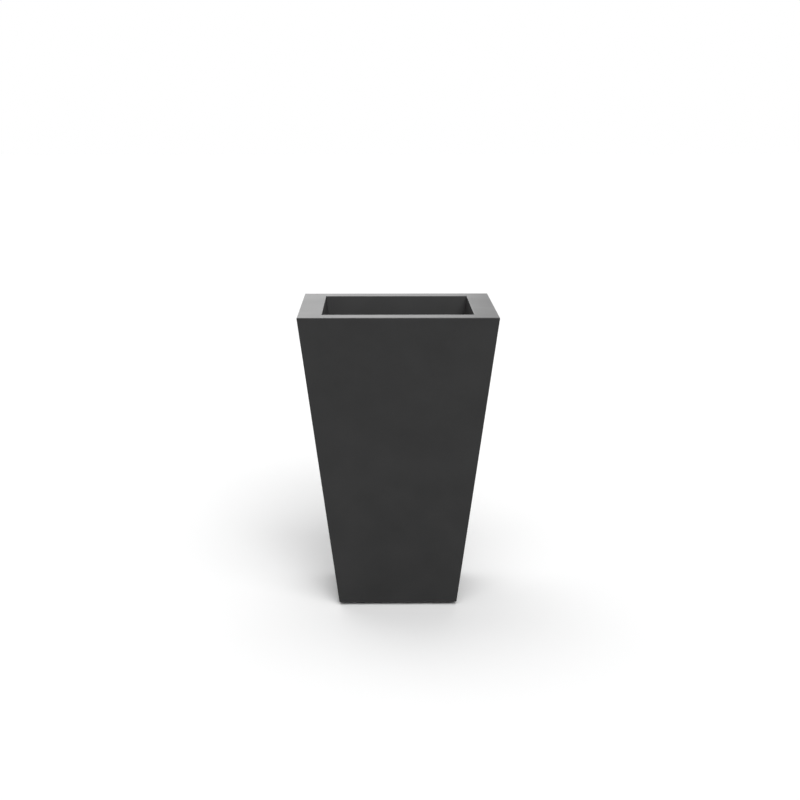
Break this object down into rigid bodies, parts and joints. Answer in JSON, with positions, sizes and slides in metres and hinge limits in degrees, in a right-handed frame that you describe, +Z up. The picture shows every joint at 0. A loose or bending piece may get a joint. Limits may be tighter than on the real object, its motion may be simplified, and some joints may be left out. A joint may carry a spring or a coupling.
{
  "type": "square planter",
  "caption": "Tall tapered square planter of folded coated sheet steel with a wide flat rim, a lift-out liner with folding handles, a drain plug and levelling feet.",
  "frame": {"origin": "on the floor under the planter's centre", "axes": "+Z up, the pictured front faces -Y, +X to the right seen from the front"},
  "size_m": [0.4994, 0.4994, 0.763],
  "materials": {
    "shell_coat": "dark grey powder coat, satin, fine orange peel",
    "zinc_sheet": "galvanised sheet, satin",
    "fastener_steel": "zinc plated steel",
    "handle_steel": "stainless steel, drawn wire and plate",
    "liner_plastic": "black moulded polyethylene, matt",
    "foot_nylon": "black moulded nylon",
    "drain_plastic": "dark grey moulded plastic",
    "seal_rubber": "black rubber"
  },
  "bodies": {
    "shell": {"front_panel": "shell_coat", "right_panel": "shell_coat", "back_panel": "shell_coat", "left_panel": "shell_coat", "corner_angle_front_left": "zinc_sheet", "corner_angle_front_right": "zinc_sheet", "corner_angle_back_right": "zinc_sheet", "corner_angle_back_left": "zinc_sheet", "rim_plate_front_left": "zinc_sheet", "rim_plate_front_right": "zinc_sheet", "rim_plate_back_right": "zinc_sheet", "rim_plate_back_left": "zinc_sheet", "corner_studs": "fastener_steel", "corner_nuts": "fastener_steel", "rim_studs": "fastener_steel", "rim_nuts": "fastener_steel", "base_tray": "zinc_sheet", "base_bolts": "fastener_steel", "base_nuts": "fastener_steel", "foot_nuts": "fastener_steel", "drain_bush": "drain_plastic", "drain_gasket": "seal_rubber", "drain_lock_ring": "drain_plastic"},
    "liner": {"liner": "liner_plastic", "handle_lugs": "handle_steel", "lug_rivets": "fastener_steel"},
    "handle_left": {"handle_left": "handle_steel"},
    "handle_right": {"handle_right": "handle_steel"},
    "drain_plug": {"drain_plug": "seal_rubber"},
    "foot_pad_front_left": {"foot_pad_front_left": "foot_nylon"},
    "foot_stud_front_left": {"foot_stud_front_left": "fastener_steel"},
    "foot_pad_front_right": {"foot_pad_front_right": "foot_nylon"},
    "foot_stud_front_right": {"foot_stud_front_right": "fastener_steel"},
    "foot_pad_back_right": {"foot_pad_back_right": "foot_nylon"},
    "foot_stud_back_right": {"foot_stud_back_right": "fastener_steel"},
    "foot_pad_back_left": {"foot_pad_back_left": "foot_nylon"},
    "foot_stud_back_left": {"foot_stud_back_left": "fastener_steel"}
  },
  "joints": [
    {"name": "liner_lift", "type": "slide", "parent": "shell", "child": "liner", "axis": [0, 0, 1], "range_m": [0, 0.5]},
    {"name": "handle_left_swing", "type": "hinge", "parent": "liner", "child": "handle_left", "pos_m": [-0.14196, 0, 0.67273], "axis": [0, -1, 0], "range_deg": [0, 180]},
    {"name": "handle_right_swing", "type": "hinge", "parent": "liner", "child": "handle_right", "pos_m": [0.14196, 0, 0.67273], "axis": [0, 1, 0], "range_deg": [0, 180]},
    {"name": "drain_plug_pull", "type": "slide", "parent": "shell", "child": "drain_plug", "axis": [0, 0, 1], "range_m": [0, 0.04]},
    {"name": "foot_front_left_level", "type": "slide", "parent": "shell", "child": "foot_pad_front_left", "axis": [0, 0, -1], "range_m": [0, 0.012]},
    {"name": "foot_front_left_turn", "type": "hinge", "parent": "foot_pad_front_left", "child": "foot_stud_front_left", "pos_m": [-0.1035, -0.1035, 0], "axis": [0, 0, -1], "range_deg": [0, 3455]},
    {"name": "foot_front_right_level", "type": "slide", "parent": "shell", "child": "foot_pad_front_right", "axis": [0, 0, -1], "range_m": [0, 0.012]},
    {"name": "foot_front_right_turn", "type": "hinge", "parent": "foot_pad_front_right", "child": "foot_stud_front_right", "pos_m": [0.1035, -0.1035, 0], "axis": [0, 0, -1], "range_deg": [0, 3455]},
    {"name": "foot_back_right_level", "type": "slide", "parent": "shell", "child": "foot_pad_back_right", "axis": [0, 0, -1], "range_m": [0, 0.012]},
    {"name": "foot_back_right_turn", "type": "hinge", "parent": "foot_pad_back_right", "child": "foot_stud_back_right", "pos_m": [0.1035, 0.1035, 0], "axis": [0, 0, -1], "range_deg": [0, 3455]},
    {"name": "foot_back_left_level", "type": "slide", "parent": "shell", "child": "foot_pad_back_left", "axis": [0, 0, -1], "range_m": [0, 0.012]},
    {"name": "foot_back_left_turn", "type": "hinge", "parent": "foot_pad_back_left", "child": "foot_stud_back_left", "pos_m": [-0.1035, 0.1035, 0], "axis": [0, 0, -1], "range_deg": [0, 3455]}
  ],
  "couplings": [
    {"joint": "foot_front_left_level", "follows": "foot_front_left_turn", "m_per_rad": 0.00019894},
    {"joint": "foot_front_right_level", "follows": "foot_front_right_turn", "m_per_rad": 0.00019894},
    {"joint": "foot_back_right_level", "follows": "foot_back_right_turn", "m_per_rad": 0.00019894},
    {"joint": "foot_back_left_level", "follows": "foot_back_left_turn", "m_per_rad": 0.00019894}
  ]
}
